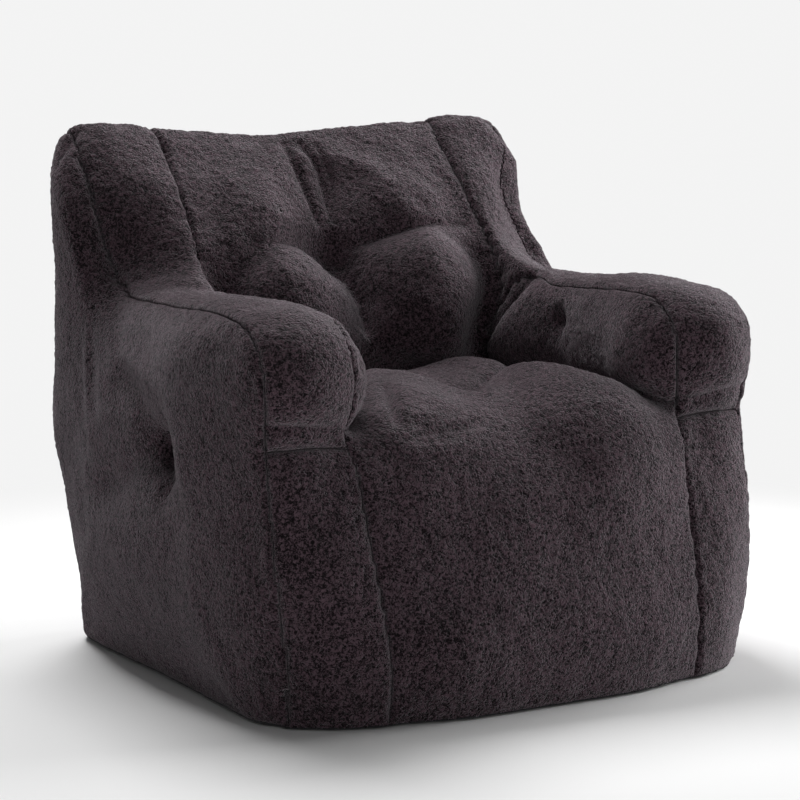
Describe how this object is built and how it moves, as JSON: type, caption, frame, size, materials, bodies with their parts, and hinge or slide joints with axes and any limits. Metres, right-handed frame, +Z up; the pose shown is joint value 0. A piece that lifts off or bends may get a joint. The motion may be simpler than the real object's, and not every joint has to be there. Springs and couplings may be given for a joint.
{
  "type": "bean bag chair",
  "caption": "Plush fleece bean bag armchair with padded arms, a tufted back and seat, stuffed chambers and a zip low on its rear.",
  "frame": {"origin": "on the floor, under the middle of the chair's bounding box", "axes": "+Z up, -Y towards the sitter's front, +X to the right as seen from the front"},
  "size_m": [0.972, 0.9076, 0.88],
  "materials": {
    "sherpa_fleece": "fabric",
    "base_cloth": "fabric",
    "divider_cloth": "fabric",
    "shredded_foam": "matte",
    "tie_twine": "fabric",
    "zip_tape": "fabric",
    "zip_plastic": "satin",
    "zip_metal": "satin"
  },
  "bodies": {
    "chair": {"seat_panel": "sherpa_fleece", "back_front_panel": "sherpa_fleece", "back_rear_panel": "sherpa_fleece", "back_lower_panel": "sherpa_fleece", "left_side_panel": "sherpa_fleece", "left_arm_gusset": "sherpa_fleece", "left_front_gusset": "sherpa_fleece", "left_rear_gusset": "sherpa_fleece", "left_inner_arm_panel": "sherpa_fleece", "right_side_panel": "sherpa_fleece", "right_arm_gusset": "sherpa_fleece", "right_front_gusset": "sherpa_fleece", "right_rear_gusset": "sherpa_fleece", "right_inner_arm_panel": "sherpa_fleece", "base_panel": "base_cloth", "left_divider": "divider_cloth", "right_divider": "divider_cloth", "seat_back_divider": "divider_cloth", "seat_fill": "shredded_foam", "back_fill": "shredded_foam", "left_arm_fill": "shredded_foam", "right_arm_fill": "shredded_foam", "seat_tuft_tie": "tie_twine", "back_tuft_tie": "tie_twine", "left_arm_tuft_tie": "tie_twine", "right_arm_tuft_tie": "tie_twine", "zip_tape_upper": "zip_tape", "zip_tape_lower": "zip_tape", "zip_teeth_upper": "zip_plastic", "zip_teeth_lower": "zip_plastic", "zip_start_stop": "zip_plastic", "zip_end_stop": "zip_plastic"},
    "zip_slider": {"zip_slider": "zip_metal"},
    "zip_pull": {"zip_pull": "zip_metal"}
  },
  "joints": [
    {"name": "zip_slide", "type": "slide", "parent": "chair", "child": "zip_slider", "axis": [1, 0, 0], "range_m": [0, 0.52]},
    {"name": "pull_flip", "type": "hinge", "parent": "zip_slider", "child": "zip_pull", "pos_m": [-0.26, 0.4266, 0.11], "axis": [0, 0, 1], "range_deg": [0, 180]}
  ]
}
